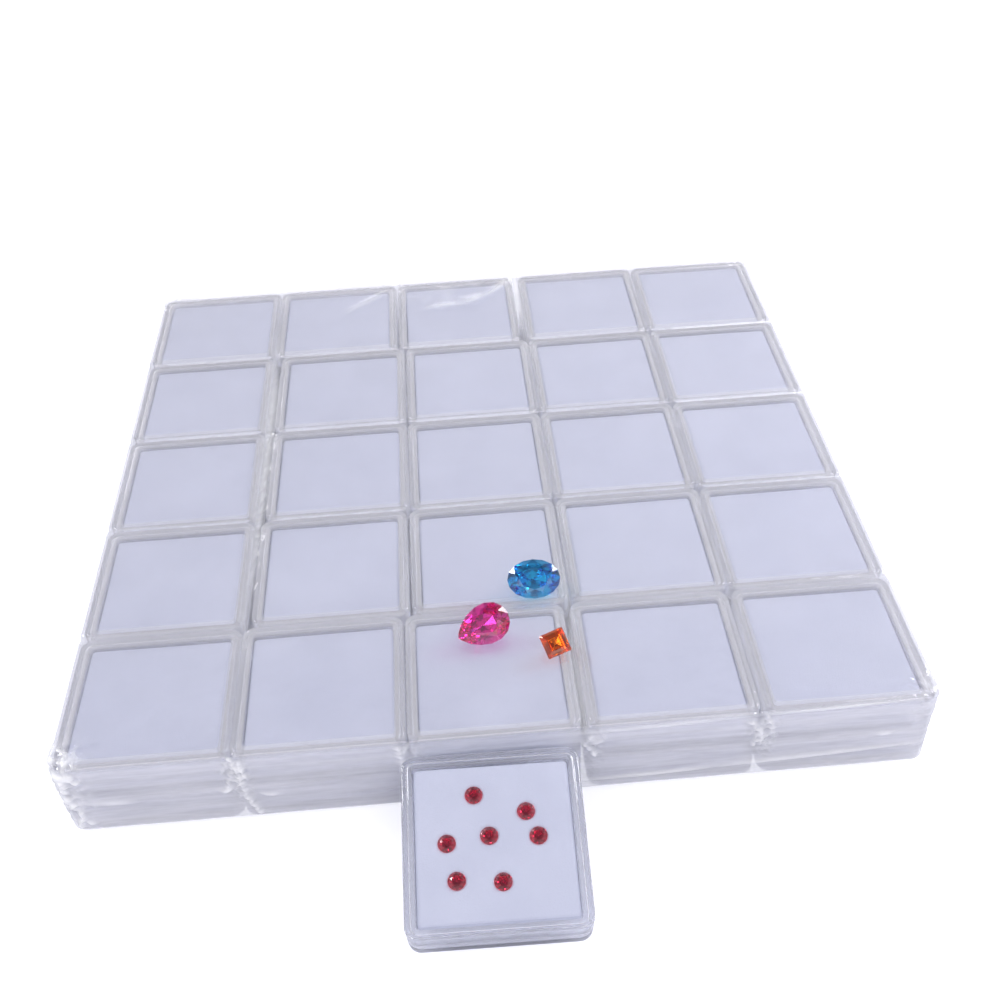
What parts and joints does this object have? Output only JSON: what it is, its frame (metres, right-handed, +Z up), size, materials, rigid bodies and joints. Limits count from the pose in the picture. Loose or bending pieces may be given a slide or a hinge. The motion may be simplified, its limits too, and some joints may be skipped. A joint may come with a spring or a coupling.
{
  "type": "mineral specimen box",
  "caption": "Clear square specimen boxes with white foam pads, stacked and film-wrapped as a pack, with one box of round stones leaning on its front and cut stones on top.",
  "frame": {"origin": "centre of the wrapped pack's underside, on the surface that it stands on", "axes": "+Z up, -Y towards the leaning box at the pack's front, +X to the right as seen from the front"},
  "size_m": [0.204, 0.2458, 0.0306],
  "materials": {
    "clear_lid": "gloss",
    "clear_tray": "gloss",
    "foam": "matte",
    "film": "gloss",
    "red_stone": "polished",
    "blue_stone": "polished",
    "pink_stone": "polished",
    "orange_stone": "polished"
  },
  "bodies": {
    "pack": {"lid_row_1_col_1": "clear_lid", "lid_row_1_col_2": "clear_lid", "lid_row_1_col_3": "clear_lid", "lid_row_1_col_4": "clear_lid", "lid_row_1_col_5": "clear_lid", "lid_row_2_col_1": "clear_lid", "lid_row_2_col_2": "clear_lid", "lid_row_2_col_3": "clear_lid", "lid_row_2_col_4": "clear_lid", "lid_row_2_col_5": "clear_lid", "lid_row_3_col_1": "clear_lid", "lid_row_3_col_2": "clear_lid", "lid_row_3_col_3": "clear_lid", "lid_row_3_col_4": "clear_lid", "lid_row_3_col_5": "clear_lid", "lid_row_4_col_1": "clear_lid", "lid_row_4_col_2": "clear_lid", "lid_row_4_col_3": "clear_lid", "lid_row_4_col_4": "clear_lid", "lid_row_4_col_5": "clear_lid", "lid_row_5_col_1": "clear_lid", "lid_row_5_col_2": "clear_lid", "lid_row_5_col_3": "clear_lid", "lid_row_5_col_4": "clear_lid", "lid_row_5_col_5": "clear_lid", "pads_top_row_1": "foam", "pads_top_row_2": "foam", "pads_top_row_3": "foam", "pads_top_row_4": "foam", "pads_top_row_5": "foam", "trays_top_row_1": "clear_tray", "trays_top_row_2": "clear_tray", "trays_top_row_3": "clear_tray", "trays_top_row_4": "clear_tray", "trays_top_row_5": "clear_tray", "lids_lower_row_1": "clear_lid", "lids_lower_row_2": "clear_lid", "lids_lower_row_3": "clear_lid", "lids_lower_row_4": "clear_lid", "lids_lower_row_5": "clear_lid", "pads_lower_row_1": "foam", "pads_lower_row_2": "foam", "pads_lower_row_3": "foam", "pads_lower_row_4": "foam", "pads_lower_row_5": "foam", "trays_lower_row_1": "clear_tray", "trays_lower_row_2": "clear_tray", "trays_lower_row_3": "clear_tray", "trays_lower_row_4": "clear_tray", "trays_lower_row_5": "clear_tray"},
    "film": {"film_hood": "film"},
    "display_box": {"display_tray": "clear_tray", "display_pad": "foam", "red_stones": "red_stone"},
    "display_cover": {"display_lid": "clear_lid"},
    "blue_stone": {"blue_oval_stone": "blue_stone"},
    "pink_stone": {"pink_pear_stone": "pink_stone"},
    "orange_stone": {"orange_square_stone": "orange_stone"}
  },
  "joints": [
    {"name": "film_lift", "type": "slide", "parent": "pack", "child": "film", "axis": [0, 0, 1], "range_m": [0, 0.06]},
    {"name": "display_box_lift", "type": "slide", "parent": "pack", "child": "display_box", "axis": [0, 0, 1], "range_m": [0, 0.08]},
    {"name": "display_lid_pull", "type": "slide", "parent": "display_box", "child": "display_cover", "axis": [-0.005, -0.284, 0.9588], "range_m": [0, 0.03]},
    {"name": "blue_stone_lift", "type": "slide", "parent": "film", "child": "blue_stone", "axis": [0, 0, 1], "range_m": [0, 0.05]},
    {"name": "pink_stone_lift", "type": "slide", "parent": "film", "child": "pink_stone", "axis": [0, 0, 1], "range_m": [0, 0.05]},
    {"name": "orange_stone_lift", "type": "slide", "parent": "film", "child": "orange_stone", "axis": [0, 0, 1], "range_m": [0, 0.05]}
  ]
}
